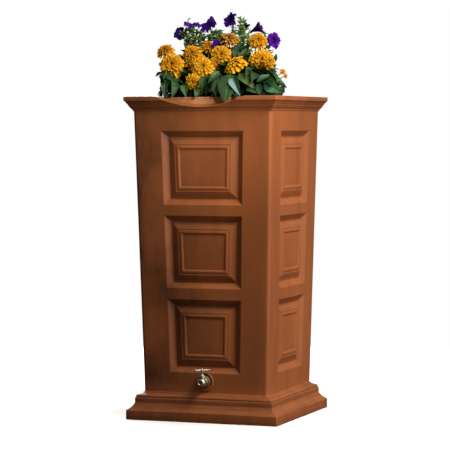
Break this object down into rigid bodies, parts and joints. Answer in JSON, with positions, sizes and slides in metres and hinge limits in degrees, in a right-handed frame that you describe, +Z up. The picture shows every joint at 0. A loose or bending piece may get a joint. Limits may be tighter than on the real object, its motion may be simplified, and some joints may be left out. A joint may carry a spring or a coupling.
{
  "type": "rain barrel",
  "caption": "Tall tapered square rain barrel with raised side panels, a moulded rim with an overflow dip, a lift-out planter top with flowers, a debris screen and a quarter-turn spigot.",
  "frame": {"origin": "centre of the base on the ground", "axes": "+Z up along the barrel's height, -Y towards the front face that carries the spigot and the overflow dip, +X to that face's right"},
  "size_m": [0.61, 0.61, 1.547],
  "materials": {
    "terracotta": "satin",
    "tray": "satin",
    "brass": "satin",
    "nickel": "satin",
    "ptfe": "matte",
    "rubber": "matte",
    "soil": "matte",
    "marigold": "satin",
    "petunia": "satin",
    "screen_plastic": "matte",
    "screen_wire": "matte",
    "steel": "satin"
  },
  "bodies": {
    "barrel": {"barrel_shell": "terracotta", "spigot_body": "brass", "spigot_gasket_outer": "rubber", "spigot_gasket_inner": "rubber", "spigot_locknut": "brass", "ball_seat_front": "ptfe", "ball_seat_rear": "ptfe", "seat_retainer": "brass", "stem_packing": "ptfe", "packing_nut": "brass"},
    "valve": {"spigot_ball": "nickel", "spigot_stem": "nickel", "t_handle": "nickel", "handle_screw": "steel"},
    "planter": {"planter_tray": "tray", "potting_soil": "soil", "marigold_plant_left": "marigold", "marigold_plant_centre": "marigold", "marigold_plant_right": "marigold", "petunia_plant_left": "petunia", "petunia_plant_centre": "petunia", "petunia_plant_right": "petunia"},
    "screen": {"screen_frame": "screen_plastic", "screen_mesh": "screen_wire", "screen_retainer": "screen_plastic", "screen_screw_1": "steel", "screen_screw_2": "steel", "screen_screw_3": "steel", "screen_screw_4": "steel"}
  },
  "joints": [
    {"name": "handle_turn", "type": "hinge", "parent": "barrel", "child": "valve", "pos_m": [0, -0.2815, 0.1955], "axis": [0, 0, 1], "range_deg": [-42, 48]},
    {"name": "planter_lift", "type": "slide", "parent": "barrel", "child": "planter", "axis": [0, 0, 1], "range_m": [0, 0.3]},
    {"name": "screen_lift", "type": "slide", "parent": "barrel", "child": "screen", "axis": [0, 0, 1], "range_m": [0, 0.15]}
  ]
}
